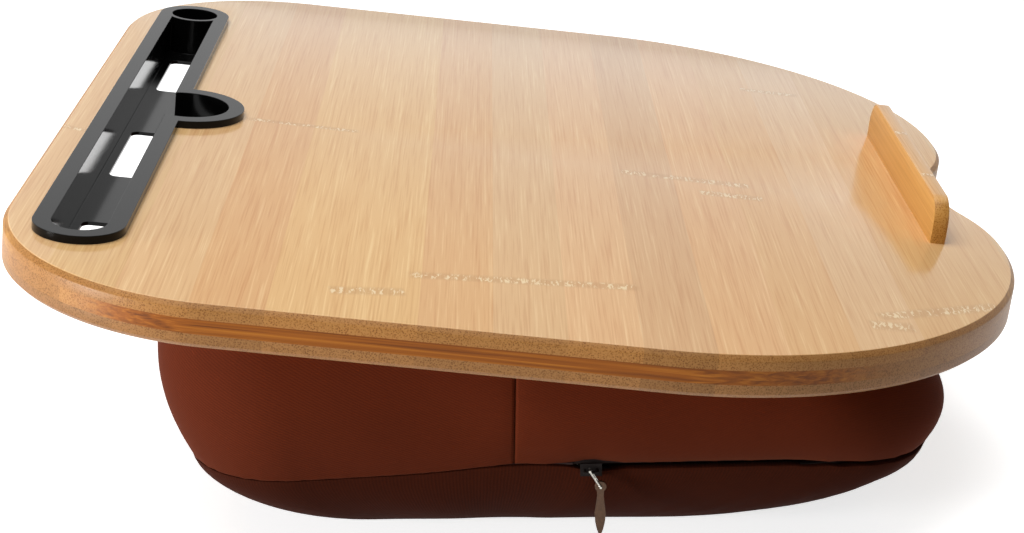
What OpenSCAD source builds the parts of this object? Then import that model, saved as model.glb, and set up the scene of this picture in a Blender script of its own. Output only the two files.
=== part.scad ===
// Bamboo lap desk with a drop-in organiser tray, a stop ledge and a zipped wedge cushion.
// The origin is the centre of the footprint, +Z is up, +X is the user's right and -Y faces the user.
// The deck pieces are drawn in the deck's own frame: the rear edge of its top face is at y = 0.

/* [Deck] */
// Width of the bamboo board
deck_w = 418; // [390:1:450]
// Depth of the board, from the rear edge to the two front lobes
deck_d = 364; // [350:1:390]
// Thickness of each of the three plies
ply_t = 5; // [4:0.5:7]
// Radius of the two rear corners
rear_corner_r = 78; // [60:1:90]
// Radius of the two large front corners
front_corner_r = 140; // [130:1:150]
// Radius that leads from a front corner into the belly cut-out
lobe_r = 90; // [80:1:100]
// Radius of the belly cut-out
notch_r = 77; // [70:1:90]
// Depth of the belly cut-out behind the front lobes
notch_depth = 14; // [11:1:18]
// Slope of the deck towards the user, in degrees
deck_tilt = 6.3; // [4:0.1:8]
// Height of the board's rear top edge over the floor
rear_height = 120; // [110:1:135]

/* [Organiser tray] */
// Overall length of the tray flange
tray_len = 332; // [316:1:350]
// Width of the tray flange
tray_w = 31.6; // [31:0.1:34]
// Distance of the tray's centre line from the rear edge
tray_back = 28; // [24:0.5:30]
// Height of the flange over the deck
flange_t = 3; // [2:0.1:4]
// Inside width of the trough
trough_w = 19; // [17:0.1:19.5]
// Wall thickness of the tray
tray_wall = 1.6; // [1.2:0.1:2]
// Floor thickness of the tray
tray_floor = 1.5; // [1:0.1:2.5]
// Diameter of the pen hole
pen_hole_d = 20.8; // [16:0.1:21]
// Wall of the pen tube
pen_wall = 2.2; // [1.5:0.1:2.5]
// Inside radius of the half-round pocket
pocket_r = 17.2; // [14:0.1:22]
// Width of the rim round the pocket
pocket_rim = 6.2; // [4.5:0.1:8]
// Length of the cable slot at the near end
near_slot = 50; // [40:1:56]
// Length of the middle cable slot
mid_slot = 60; // [40:1:66]
// Length of the cable slot beside the pen tube
far_slot = 52; // [35:1:56]
// Width of the cable slots
slot_w = 12.4; // [8:0.1:13]
// Distance of the near slot from the end of the trough
near_slot_set = 4.5; // [3:0.5:8]
// Distance of the middle slot's middle from the middle of the tray
mid_slot_set = 21; // [15:0.5:25]
// Distance of the far slot from the pen tube
far_slot_set = 13.4; // [10:0.1:18]
// Clearance between the tray and the opening in the deck
tray_clear = 0.3; // [0.2:0.05:0.5]

/* [Stop ledge] */
// Length of the stop ledge
ledge_len = 144; // [110:1:170]
// Height of the ledge over the deck
ledge_h = 16.6; // [12:0.1:22]
// Thickness of the ledge
ledge_t = 6; // [5:0.1:8]
// Radius of the ledge's upper corners
ledge_corner_r = 10; // [5:0.5:12]
// Board left between the ledge and the bottom of the belly cut-out
ledge_set = 10; // [6:0.5:20]
// Depth of the groove that holds the ledge
groove_depth = 2; // [1:0.1:3]
// Distance of each ledge screw from the middle
screw_x = 48; // [30:1:50]
// Shank diameter of the ledge screws
screw_d = 3; // [2.5:0.1:3.5]
// Length of the ledge screws
screw_len = 24; // [22:0.5:26]

/* [Cushion] */
// Width of the cushion at its upper seam
cushion_w = 353; // [330:1:372]
// Depth of the cushion at its upper seam
cushion_d = 265; // [250:1:280]
// Distance of the cushion from the board's rear edge
cushion_back = 54; // [48:1:60]
// Corner radius of the cushion at its rear
cushion_rear_r = 40; // [30:1:55]
// Corner radius of the cushion at its front
cushion_front_r = 50; // [35:1:65]
// How far the sides draw in from the upper to the lower seam
side_draw = 6.8; // [3:0.1:10]
// How far the rear draws in from the upper to the lower seam
rear_draw = 5; // [2:0.5:8]
// How far the front stands out from the upper to the lower seam
front_out = 3; // [0:0.5:5]
// How far the sides bulge between the seams
side_bulge = 6.5; // [2:0.5:9]
// Height of the lower seam over the floor at the rear
seam_h_rear = 34; // [30:0.5:36]
// Height of the lower seam over the floor at the front
seam_h_front = 39; // [36:0.5:42]
// How far the bottom panel runs in from the lower seam before it meets the floor, at the sides
foot_side = 40; // [30:1:55]
// The same at the rear
foot_rear = 46; // [30:1:60]
// The same at the front
foot_front = 85; // [60:1:95]
// Width of the rolled edge of the top panel
top_roll = 14; // [8:1:20]
// Drop of the upper seam below the flat of the top panel
top_drop = 4.5; // [3:0.5:7]
// Thickness of the cover fabric
cloth_t = 1.2; // [0.8:0.1:1.6]
// Thickness of the inner case
lining_t = 0.8; // [0.5:0.1:1.2]
// Room between the sides of the cover and the inner case
zip_room = 3.9; // [3.6:0.1:4.4]
// Length of the hook and loop strips
strip_len = 200; // [120:5:240]
// Width of the hook and loop strips
strip_w = 25; // [15:1:40]
// Distance of the strips from the rolled edge of the cushion
strip_set = 22; // [10:1:40]
// Thickness of the hook strip
hook_t = 0.9; // [0.6:0.1:1.5]
// Thickness of the loop strip
loop_t = 1.1; // [0.6:0.1:1.5]

/* [Zip] */
// Opening between the cover's panels along the zip
slit = 3; // [2.8:0.1:3.6]
// Travel of the slider along the straight part of the zip
zip_travel = 60; // [30:1:64]
// Length of the slider
slider_len = 7.4; // [6:0.1:10]
// Height of the slider
slider_h = 4.6; // [4.4:0.1:6]
// Width of the slider's neck
neck_w = 1.2; // [0.8:0.1:1.3]
// Wire diameter of the pull's link
link_wire = 0.8; // [0.7:0.05:0.9]
// Distance between the link's two ends
link_len = 6; // [5:0.1:8]
// Lean of the link from the vertical, in degrees
link_lean = 32; // [10:1:40]
// Length of the leaf-shaped pull below its eye
pull_len = 18.5; // [12:0.5:22]
// Width of the pull
pull_w = 3.8; // [3:0.1:5]
// Thickness of the pull
pull_t = 1; // [0.8:0.05:1.05]

/* [Hidden] */
$fn = 96;

deck_t = 3 * ply_t;
// The deck is centred over the origin, so its rear edge lies here.
deck_y = (deck_d * cos(deck_tilt) - deck_t * sin(deck_tilt)) / 2;
eps = 0.01;
big = 1000;
outline_spare = 20;
// How far the point of a slice lies ahead of its centre, as a share of the radius.
slice_tip = 0.15;

// ---- Frames and small helpers -------------------------------------------------------------

// Puts a child drawn in the deck's frame where the deck lies.
module on_deck() {
    translate([0, deck_y, rear_height])
        rotate([deck_tilt, 0, 0])
            children();
}

function lerp(a, b, t) = a + (b - a) * t;

// A slice round c between two angles, out to twice the radius. Its sides pass through the ends
// of the arc with radius r, and its point lies ahead of the centre, so that neighbouring slices
// overlap outside the arc.
module slice(c, r, a0, a1) {
    mid = (a0 + a1) / 2;
    tip = slice_tip * r * [cos(mid), sin(mid)];
    translate(c)
        polygon([tip, lerp(tip, r * [cos(a0), sin(a0)], 2), 2 * r * [cos(mid), sin(mid)],
            lerp(tip, r * [cos(a1), sin(a1)], 2)]);
}

// ---- Deck ---------------------------------------------------------------------------------

half_w = deck_w / 2;
rear_c = [half_w - rear_corner_r, -rear_corner_r];
front_c = [half_w - front_corner_r, -(deck_d - front_corner_r)];
notch_c = [0, -(deck_d - notch_depth + notch_r)];

// The lobe's circle touches the front corner from inside and the belly cut-out from outside,
// so its centre is where circles of these two radii round their centres meet.
lobe_from_front = front_corner_r - lobe_r;
lobe_from_notch = notch_r + lobe_r;
between = norm(notch_c - front_c);
along = (lobe_from_front^2 - lobe_from_notch^2 + between^2) / (2 * between);
across = sqrt(lobe_from_front^2 - along^2);
toward = (notch_c - front_c) / between;
lobe_c = front_c + toward * along + across * [-toward[1], toward[0]];
lobe_start = atan2(lobe_c[1] - front_c[1], lobe_c[0] - front_c[0]);
lobe_end = atan2(notch_c[1] - lobe_c[1], notch_c[0] - lobe_c[0]);
lobe_tip = front_c + front_corner_r * [cos(lobe_start), sin(lobe_start)];
notch_tip = lobe_c + lobe_r * [cos(lobe_end), sin(lobe_end)];

// What an arc of the outline leaves of its slice.
module outside_arc(c, r, a0, a1) {
    difference() {
        slice(c, r, a0, a1);
        translate(c) circle(r);
    }
}

module off_corners() {
    outside_arc(rear_c, rear_corner_r, 0, 90);
    outside_arc(front_c, front_corner_r, lobe_start, 0);
    outside_arc(lobe_c, lobe_r, lobe_end, lobe_start);
}

module deck_outline() {
    difference() {
        translate([-half_w, -deck_d - outline_spare]) square([deck_w, deck_d + outline_spare]);
        off_corners();
        mirror([1, 0]) off_corners();
        translate(notch_c) circle(notch_r);
    }
}

// The opening in the deck for the tray, in the deck's plane.
module tray_opening(grow) {
    straight = pen_x - near_x;
    translate([near_x, -tray_back - trough_w / 2 - tray_wall - grow])
        square([straight, trough_w + 2 * (tray_wall + grow)]);
    translate([near_x, -tray_back]) circle(trough_w / 2 + tray_wall + grow);
    translate([pen_x, -tray_back]) circle(pen_hole_d / 2 + pen_wall + grow);
    intersection() {
        translate([0, pocket_y]) circle(pocket_r + tray_wall + grow);
        translate([-big / 2, pocket_y - big]) square([big, big - pocket_y - tray_back]);
    }
}

// A ply below a height in the deck's frame, with the opening for the tray.
module ply(top) {
    translate([0, 0, top - ply_t])
        linear_extrude(ply_t)
            difference() {
                deck_outline();
                tray_opening(tray_clear);
            }
}

module ledge_groove() {
    translate([-ledge_len / 2, ledge_y - ledge_t, -groove_depth])
        cube([ledge_len, ledge_t, groove_depth + 1]);
}

// Through hole and countersink of the ledge screws, from the deck's underside.
module screw_holes() {
    for (side = [-1, 1])
        translate([side * screw_x, ledge_y - ledge_t / 2, -deck_t]) {
            translate([0, 0, -1]) cylinder(h = screw_len + 1, r = screw_d / 2);
            cylinder(h = screw_d / 2, r1 = screw_d, r2 = screw_d / 2);
        }
}

// The top ply shows the bamboo's face and carries the ledge's groove.
module deck_top_ply() {
    color("burlywood")
        on_deck()
            difference() {
                ply(0);
                ledge_groove();
                screw_holes();
            }
}

// The core ply's strips run the other way, so its side grain shows along the edge.
module deck_core_ply() {
    color("peru")
        on_deck()
            difference() {
                ply(-ply_t);
                screw_holes();
            }
}

module deck_bottom_ply() {
    color("tan")
        on_deck()
            difference() {
                ply(-2 * ply_t);
                screw_holes();
            }
}

// ---- Stop ledge ---------------------------------------------------------------------------

ledge_y = -(deck_d - notch_depth) + ledge_set + ledge_t;

module ledge_profile() {
    half = ledge_len / 2;
    square_top = ledge_h - ledge_corner_r;
    translate([-half, -groove_depth]) square([ledge_len, groove_depth + square_top]);
    translate([-half + ledge_corner_r, 0]) square([ledge_len - 2 * ledge_corner_r, ledge_h]);
    intersection() {
        translate([-half, 0]) square([ledge_len, ledge_h]);
        for (side = [-1, 1])
            translate([side * (half - ledge_corner_r), square_top]) circle(ledge_corner_r);
    }
}

// The ledge stops the laptop from sliding off. Its foot is glued into a shallow groove.
module stop_ledge() {
    color("sandybrown")
        on_deck()
            difference() {
                translate([0, ledge_y, 0])
                    rotate([90, 0, 0])
                        linear_extrude(ledge_t)
                            ledge_profile();
                screw_holes();
            }
}

module ledge_screws() {
    color("silver")
        on_deck()
            for (side = [-1, 1])
                translate([side * screw_x, ledge_y - ledge_t / 2, -deck_t]) {
                    cylinder(h = screw_len, r = screw_d / 2);
                    cylinder(h = screw_d / 2, r1 = screw_d, r2 = screw_d / 2);
                }
}

// ---- Organiser tray -----------------------------------------------------------------------

near_x = -(tray_len - tray_w) / 2;
pen_x = (tray_len - tray_w) / 2;
pen_r = pen_hole_d / 2;
pocket_y = -tray_back - tray_w / 2;
tray_bottom = -deck_t + tray_clear;
floor_top = tray_bottom + tray_floor;

module flange_outline() {
    translate([near_x, -tray_back - tray_w / 2]) square([pen_x - near_x, tray_w]);
    translate([near_x, -tray_back]) circle(tray_w / 2);
    translate([pen_x, -tray_back]) circle(tray_w / 2);
    translate([0, pocket_y]) circle(pocket_r + pocket_rim);
}

module flange_face() {
    intersection() {
        flange_outline();
        translate([-big / 2, -tray_back + tray_w / 2 - big]) square([big, big]);
    }
}

// The hollow of the trough and the pocket, in the deck's plane. The pen tube stands in its end.
module hollow_outline() {
    difference() {
        union() {
            translate([near_x, -tray_back - trough_w / 2]) square([pen_x - near_x, trough_w]);
            translate([near_x, -tray_back]) circle(trough_w / 2);
            intersection() {
                translate([0, pocket_y]) circle(pocket_r);
                translate([-big / 2, pocket_y - big]) square([big, big - pocket_y - tray_back]);
            }
        }
        translate([pen_x, -tray_back]) circle(pen_r + pen_wall);
    }
}

module slot(from, length) {
    r = slot_w / 4;
    translate([from, -tray_back - slot_w / 2]) {
        translate([r, 0]) square([length - 2 * r, slot_w]);
        translate([0, r]) square([length, slot_w - 2 * r]);
        for (x = [r, length - r], y = [r, slot_w - r])
            translate([x, y]) circle(r);
    }
}

near_slot_x = near_x - trough_w / 2 + near_slot_set;
mid_slot_x = -mid_slot_set - mid_slot / 2;
far_slot_x = pen_x - pen_r - pen_wall - far_slot_set - far_slot;

module slots() {
    slot(near_slot_x, near_slot);
    slot(mid_slot_x, mid_slot);
    slot(far_slot_x, far_slot);
}

// One black moulding: a flange on the deck, a long trough with cable slots, a half-round pocket
// open to the trough, and a tube for a pen.
module organiser_tray() {
    color("dimgray")
        on_deck()
            difference() {
                union() {
                    linear_extrude(flange_t) flange_face();
                    translate([0, 0, tray_bottom])
                        linear_extrude(-tray_bottom + eps)
                            tray_opening(0);
                }
                translate([0, 0, floor_top]) linear_extrude(big) hollow_outline();
                translate([0, 0, tray_bottom - 1]) linear_extrude(tray_floor + 2) slots();
                translate([pen_x, -tray_back, floor_top]) cylinder(h = big, r = pen_r);
            }
}

// ---- Cushion: one surface, described by rows down its side and columns round it -----------

pad_gap = hook_t + loop_t;
arc_steps = 6;
side_steps = [0.23, 0.46, 0.55, 0.8];
end_steps = [0.25, 0.5, 0.75];
// Columns where pieces meet: the vertical seams, and the two ends of the zip.
near_seam_col = arc_steps + 2;
zip_col = arc_steps + 3;
zip_end_col = 2 * (arc_steps + 1) + len(side_steps) + len(end_steps);
far_seam_col = zip_end_col + arc_steps + 1 + len(side_steps) - 2;
cols = 4 * (arc_steps + 1) + 2 * len(side_steps) + 2 * len(end_steps);

// A ring is a list of [x, y, outward x, outward y], from the near rear corner round the front.
function arc_points(c, r, from) = [for (k = [0 : arc_steps])
    let (a = from + 90 * k / arc_steps) [c[0] + r * cos(a), c[1] + r * sin(a), cos(a), sin(a)]];
function line_points(p, q, steps, out) = [for (t = steps)
    [lerp(p[0], q[0], t), lerp(p[1], q[1], t), out[0], out[1]]];
function reversed(steps) = [for (k = [len(steps) - 1 : -1 : 0]) 1 - steps[k]];
function ring(a, rear, front, rr, fr) = concat(
    arc_points([-a + rr, rear - rr], rr, 90),
    line_points([-a, rear - rr], [-a, front + fr], side_steps, [-1, 0]),
    arc_points([-a + fr, front + fr], fr, 180),
    line_points([-a + fr, front], [a - fr, front], end_steps, [0, -1]),
    arc_points([a - fr, front + fr], fr, 270),
    line_points([a, front + fr], [a, rear - rr], reversed(side_steps), [1, 0]),
    arc_points([a - rr, rear - rr], rr, 0),
    line_points([a - rr, rear], [-a + rr, rear], end_steps, [0, 1]));

half_cushion = cushion_w / 2;
rear_y = deck_y - cushion_back;
front_y = rear_y - cushion_d;
seam_half = half_cushion - side_draw;
seam_rear_y = rear_y - rear_draw;
seam_front_y = front_y - front_out;
foot_shrink = 0.8;

upper_ring = ring(half_cushion, rear_y, front_y, cushion_rear_r, cushion_front_r);
lower_ring = ring(seam_half, seam_rear_y, seam_front_y, cushion_rear_r, cushion_front_r);
foot_ring = ring(seam_half - foot_side, seam_rear_y - foot_rear, seam_front_y + foot_front,
    cushion_rear_r * foot_shrink, cushion_front_r * foot_shrink);

// Height of the top panel's flat, which lies parallel to the deck, and of the lower seam.
function pad_top(y) = rear_height + (y - deck_y) * tan(deck_tilt) - (deck_t + pad_gap) / cos(deck_tilt);
seam_slope = (seam_h_rear - seam_h_front) / (seam_rear_y - seam_front_y);
function seam_z(y) = seam_h_front + seam_slope * (y - seam_front_y);

roll_row = 0;
upper_seam_row = 2;
mid_row = 4;
slit_top_row = 6;
slit_low_row = 7;
foot_row = 11;
boxing_rows = slit_top_row - upper_seam_row;
foot_rows = foot_row - slit_low_row;
// Share of the roll left at each row of the top panel, and its drop.
roll_in = [1, 0.35, 0];
roll_down = [0, 0.3, 1];
foot_power = 1.3;
foot_bulge = 0.35;

// Outward direction of the surface at a row: how much sideways, and how much up.
function row_normal(r) = r == 0 ? [0, 1]
    : r == 1 ? [0.4, 0.92]
    : r == 2 ? [0.9, 0.43]
    : r <= slit_low_row ? [1, 0]
    : let (q = 90 * (r - slit_low_row) / foot_rows) [cos(q), -sin(q)];

// The point of the cover's outer face at a whole row and column.
function outer_point(r, c) =
    let (u = upper_ring[c], l = lower_ring[c], f = foot_ring[c])
    r <= upper_seam_row
        ? let (x = u[0] - u[2] * top_roll * roll_in[r], y = u[1] - u[3] * top_roll * roll_in[r])
            [x, y, pad_top(y) - top_drop * roll_down[r]]
    : r <= slit_top_row
        ? let (t = (r - upper_seam_row) / boxing_rows, b = side_bulge * 4 * t * (1 - t),
            x = lerp(u[0], l[0], t) + u[2] * b, y = lerp(u[1], l[1], t) + u[3] * b)
            [x, y, lerp(pad_top(u[1]) - top_drop, seam_z(l[1]) + slit / 2, t)]
    : let (q = 90 * (r - slit_low_row) / foot_rows, t = 1 - pow(cos(q), foot_power))
        [lerp(l[0], f[0], t), lerp(l[1], f[1], t),
            (seam_z(l[1]) - slit / 2) * (1 - pow(sin(q), foot_power))];

// The same point sunk below the surface by depth. Rows and columns may be fractions.
function whole_point(r, c, depth) =
    let (p = outer_point(r, c), u = upper_ring[c], n = row_normal(r))
    [p[0] - depth * n[0] * u[2], p[1] - depth * n[0] * u[3], p[2] - depth * n[1]];
function skin_point(r, c, depth) =
    let (r0 = min(floor(r), foot_row - 1), t = r - r0)
    t == 0 ? whole_point(r0, c % cols, depth)
    : lerp(whole_point(r0, c % cols, depth), whole_point(r0 + 1, c % cols, depth), t);

// A point beside the lower seam: up from its middle, and in from the cover's outer face.
function seam_point(c, up, depth) =
    let (l = lower_ring[c % cols])
    [l[0] - depth * l[2], l[1] - depth * l[3], seam_z(l[1]) + up];

// How deep the inner case lies: it touches the cover above and below and leaves room for the zip.
function case_share(r) = r == 0 ? 0
    : r == 1 ? 0.2
    : r == foot_row ? 0
    : r == foot_row - 1 ? 0.3
    : r == foot_row - 2 ? 0.7
    : 1;
function case_depth(r) = cloth_t + zip_room * case_share(r);

// Faces between layers of points. Each layer is a closed loop or an open strip of n points, and
// the layers run over the whole outside of the solid.
function strip_faces(layers, n, closed) = [for (k = [0 : layers - 2], i = [0 : n - (closed ? 1 : 2)])
    let (j = (i + 1) % n, a = k * n + i, b = k * n + j, c = (k + 1) * n + j, d = (k + 1) * n + i)
    each [[a, b, c], [a, c, d]]];

// The middle of a loop of points.
function total(loop, k) = k < 0 ? [0, 0, 0] : loop[k] + total(loop, k - 1);
function middle(loop) = total(loop, len(loop) - 1) / len(loop);

// A closed solid from loops of points. Flat caps close its first and last loop, as one face each or
// as a fan of triangles round the loop's middle.
module lofted(loops, fan = false) {
    n = len(loops[0]);
    last = (len(loops) - 1) * n;
    hub = len(loops) * n;
    polyhedron(
        points = [for (loop = loops) each loop, middle(loops[0]), middle(loops[len(loops) - 1])],
        faces = concat(strip_faces(len(loops), n, true),
            fan ? [for (i = [0 : n - 1]) [hub, (i + 1) % n, i]] : [[for (i = [n - 1 : -1 : 0]) i]],
            fan ? [for (i = [0 : n - 1]) [hub + 1, last + i, last + (i + 1) % n]]
                : [[for (i = [0 : n - 1]) last + i]]),
        convexity = 8);
}

// A panel that closes over the top or the bottom: a bowl with a flat floor.
module bowl(outer_rows, inner_rows, outer_depth, inner_depth) {
    lofted(concat(
        [for (r = outer_rows) [for (c = [0 : cols - 1]) skin_point(r, c, outer_depth(r))]],
        [for (r = inner_rows) [for (c = [0 : cols - 1]) skin_point(r, c, inner_depth(r))]]),
        fan = true);
}

// A strip along the columns, with the same section at each: a list of points in order.
module along_columns(from, to, section) {
    lofted([for (c = [from : to]) section(c)]);
}

fill_gap = 0.3;
cloth_out = function (r) 0;
cloth_in = function (r) cloth_t;
case_out = function (r) case_depth(r);
case_in = function (r) case_depth(r) + lining_t;

function panel_section(rows) = function (c) concat(
    [for (r = rows) skin_point(r, c, 0)],
    [for (k = [len(rows) - 1 : -1 : 0]) skin_point(rows[k], c, cloth_t)]);

module cover_top_panel() {
    color("sienna")
        bowl([roll_row : upper_seam_row], [upper_seam_row : -1 : roll_row], cloth_out, cloth_in);
}

boxing_row_list = [for (r = [upper_seam_row : slit_top_row]) r];

module cover_rear_boxing() {
    color("sienna") along_columns(far_seam_col, cols + near_seam_col, panel_section(boxing_row_list));
}

module cover_front_boxing() {
    color("sienna") along_columns(near_seam_col, far_seam_col, panel_section(boxing_row_list));
}

module cover_bottom_panel() {
    color("saddlebrown")
        bowl([foot_row : -1 : slit_low_row], [slit_low_row : foot_row], cloth_out, cloth_in);
}

// Where there is no zip, the two panels' turned-in edges are sewn together here.
module cover_seam_allowance() {
    color("saddlebrown")
        along_columns(zip_end_col, cols + zip_col, panel_section([slit_top_row, slit_low_row]));
}

module inner_case_upper() {
    color("ivory") bowl([roll_row : mid_row], [mid_row : -1 : roll_row], case_out, case_in);
}

module inner_case_lower() {
    color("ivory") bowl([foot_row : -1 : mid_row], [mid_row : foot_row], case_out, case_in);
}

module fibre_filling() {
    color("white")
        lofted([for (r = [roll_row : foot_row])
            [for (c = [0 : cols - 1]) skin_point(r, c, case_in(r) + fill_gap)]],
            fan = true);
}

// ---- Hook and loop strips -----------------------------------------------------------------

strip_from_edge = top_roll + strip_set;
strip_rows = [-(cushion_back + strip_from_edge + strip_w / 2),
    -(cushion_back + cushion_d - strip_from_edge - strip_w / 2)];

module strips(top, thickness) {
    on_deck()
        for (y = strip_rows)
            translate([-strip_len / 2, y - strip_w / 2, top - thickness])
                cube([strip_len, strip_w, thickness]);
}

module hook_strips() {
    color("black") strips(-deck_t, hook_t);
}

module loop_strips() {
    color("black") strips(-deck_t - hook_t, loop_t);
}

// ---- Zip ----------------------------------------------------------------------------------

tape_t = 0.4;
tape_reach = 0.7;
coil_in = cloth_t + tape_t;
coil_t = 1.3;
coil_h = 1.4;
coil_gap = 0.95;
coil_clear = 0.05;

function upper_tape(c) = [skin_point(slit_top_row - tape_reach, c, cloth_t),
    skin_point(slit_top_row, c, cloth_t), seam_point(c, coil_gap, cloth_t),
    seam_point(c, coil_gap, coil_in), skin_point(slit_top_row, c, coil_in),
    skin_point(slit_top_row - tape_reach, c, coil_in)];
function lower_tape(c) = [seam_point(c, -coil_gap, cloth_t), skin_point(slit_low_row, c, cloth_t),
    skin_point(slit_low_row + tape_reach, c, cloth_t), skin_point(slit_low_row + tape_reach, c, coil_in),
    skin_point(slit_low_row, c, coil_in), seam_point(c, -coil_gap, coil_in)];
function coil_section(c, low, lean) = [seam_point(c, low + coil_h, coil_in),
    seam_point(c, low, coil_in + lean), seam_point(c, low, coil_in + coil_t),
    seam_point(c, low + coil_h, coil_in + coil_t)];
// The panel below the slit leans in, and the lower coil leans with it.
function foot_lean(c) =
    let (a = skin_point(slit_low_row, c, coil_in), b = skin_point(slit_low_row + 1, c, coil_in))
    coil_clear + (coil_gap + coil_h - slit / 2) * norm([b[0] - a[0], b[1] - a[1]]) / (a[2] - b[2]);

module zip_tape_upper() {
    color("saddlebrown") along_columns(zip_col, zip_end_col, function (c) upper_tape(c));
}

module zip_tape_lower() {
    color("saddlebrown") along_columns(zip_col, zip_end_col, function (c) lower_tape(c));
}

module zip_coil_upper() {
    color("saddlebrown") along_columns(zip_col, zip_end_col, function (c) coil_section(c, coil_gap, 0));
}

module zip_coil_lower() {
    color("saddlebrown")
        along_columns(zip_col, zip_end_col,
            function (c) coil_section(c, -coil_gap - coil_h, foot_lean(c)));
}

// Along its straight side the zip runs on a line, and the slider's frame follows it: y back along
// the zip, z up, and x into the cushion from the cover's outer face.
zip_y = lower_ring[zip_col][1];
stop_len = 1.7;
// The stops lie this far inside the zip's ends, and the slider rests this far from the first.
stop_set = 0.2;
stop_space = 0.8;
slider_y = zip_y - stop_len - stop_space - slider_len / 2;
zip_tilt = atan(seam_slope);
// The panel above the slit leans out, so the slider's front plate stands off by that much.
lean_run = outer_point(slit_top_row, zip_col)[0] - outer_point(slit_top_row - 1, zip_col)[0];
lean_rise = outer_point(slit_top_row - 1, zip_col)[2] - outer_point(slit_top_row, zip_col)[2];
plate_stand = 0.35;
plate_gap = plate_stand + max(0, slider_h - slit) / 2 * lean_run / lean_rise;
plate_t = 1;
bridge_r = 0.45;
bridge_half = 2.2;
post_r = 0.5;
link_play = 0.15;
link_half = bridge_r + link_play + link_wire / 2;
// The link's upper corners clear the plate when it swings out.
bridge_out = plate_gap + plate_t + (link_half + link_wire / 2) * sqrt(2) + link_play;
back_clear = 0.3;
back_plate = coil_in + coil_t + back_clear;
back_plate_t = 0.6;

module at_slider() {
    translate([-seam_half, slider_y, seam_z(slider_y)])
        rotate([zip_tilt, 0, 0])
            children();
}

module block(x, y, z) {
    translate([x[0], y[0], z[0]]) cube([x[1] - x[0], y[1] - y[0], z[1] - z[0]]);
}

// Metal staples behind the coil: one at the closed end of the zip and one at its far end.
module zip_end_stops() {
    reach = coil_gap + coil_h;
    behind = coil_in + coil_t;
    far = lower_ring[zip_end_col];
    color("silver") {
        translate([-seam_half, zip_y, seam_z(zip_y)])
            rotate([zip_tilt, 0, 0])
                block([behind, behind + back_plate_t], [-stop_len - stop_set, -stop_set], [-reach, reach]);
        translate([far[0], far[1], seam_z(far[1])])
            block([-stop_len - stop_set, -stop_set], [behind, behind + back_plate_t], [-reach, reach]);
    }
}

// The slider holds the coil between two plates. A bridge on the outer plate carries the link.
module zip_slider() {
    half = slider_len / 2;
    color("dimgray")
        at_slider() {
            block([-plate_gap - plate_t, -plate_gap], [-half, half], [-slider_h / 2, slider_h / 2]);
            block([-plate_gap - eps, back_plate + eps], [-half / 2, half / 2], [-neck_w / 2, neck_w / 2]);
            block([back_plate, back_plate + back_plate_t], [-half, half], [-slider_h / 2, slider_h / 2]);
            translate([-bridge_out, bridge_half + post_r, 0])
                rotate([90, 0, 0])
                    cylinder(h = 2 * (bridge_half + post_r), r = bridge_r);
            for (y = [-bridge_half, bridge_half])
                translate([-bridge_out, y, 0])
                    rotate([0, 90, 0])
                        cylinder(h = bridge_out - plate_gap - plate_t / 2, r = post_r);
        }
}

// A round bar between two points, with both ends run on by its radius to fill a corner.
module bar(from, to, r) {
    run = to - from;
    translate(from)
        rotate([0, acos(run[2] / norm(run)), atan2(run[1], run[0])])
            translate([0, 0, -r])
                cylinder(h = norm(run) + 2 * r, r = r);
}

bridge_point = [-seam_half - bridge_out, slider_y, seam_z(slider_y)];
link_dir = [0, -sin(link_lean), -cos(link_lean)];
eye_point = bridge_point + link_len * link_dir;

// A rectangle of wire that hangs over the slider's bridge and through the pull's eye.
module zip_link() {
    top = bridge_point - link_half * link_dir;
    wide = [link_half, 0, 0];
    color("silver") {
        bar(top - wide, top + wide, link_wire / 2);
        bar(eye_point - wide, eye_point + wide, link_wire / 2);
        bar(top - wide, eye_point - wide, link_wire / 2);
        bar(top + wide, eye_point + wide, link_wire / 2);
    }
}

eye_play = 0.06;
eye_ring = 1.5;
eye_r = link_wire / 2 + eye_play;
head_r = eye_r + eye_ring;
// The leaf's outline below its head: half widths as shares of its width, at shares of its length.
leaf = [[0.32, 0.05], [0.3, 0.21], [0.5, 0.55], [0.44, 0.72], [0.3, 0.86]];

// The leaf-shaped pull: a round head with the eye, a narrow neck and a long leaf with a round tip.
module zip_pull() {
    tip_r = pull_w / 8;
    tip = tip_r * 0.8;
    side = [for (p = leaf) [-pull_w * p[0], -pull_len * p[1]]];
    color("rosybrown")
        translate([eye_point[0] - pull_t / 2, eye_point[1], eye_point[2]])
            rotate([90, 0, 90])
                linear_extrude(pull_t)
                    difference() {
                        union() {
                            circle(head_r);
                            translate([0, -pull_len + tip_r]) circle(tip_r);
                            polygon(concat(side, [[-tip, -pull_len + tip_r], [tip, -pull_len + tip_r]],
                                [for (k = [len(side) - 1 : -1 : 0]) [-side[k][0], side[k][1]]]));
                        }
                        circle(eye_r);
                    }
}

deck_top_ply();
deck_core_ply();
deck_bottom_ply();
stop_ledge();
ledge_screws();
organiser_tray();
hook_strips();
loop_strips();
cover_top_panel();
cover_rear_boxing();
cover_front_boxing();
cover_bottom_panel();
cover_seam_allowance();
inner_case_upper();
inner_case_lower();
fibre_filling();
zip_tape_upper();
zip_tape_lower();
zip_coil_upper();
zip_coil_lower();
zip_end_stops();
zip_slider();
zip_link();
zip_pull();
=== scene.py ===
"""A lap desk: a bamboo board with an organiser tray and a stop ledge, on a cushion with a zip.

The studio's sizes are in metres and the pieces' in mm, until their meshes are made. +X is to the
user's right, +Y from the user to the tray edge, and +Z up.
"""

from functools import partial
from math import cos, pi, radians, sin, tan

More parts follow.
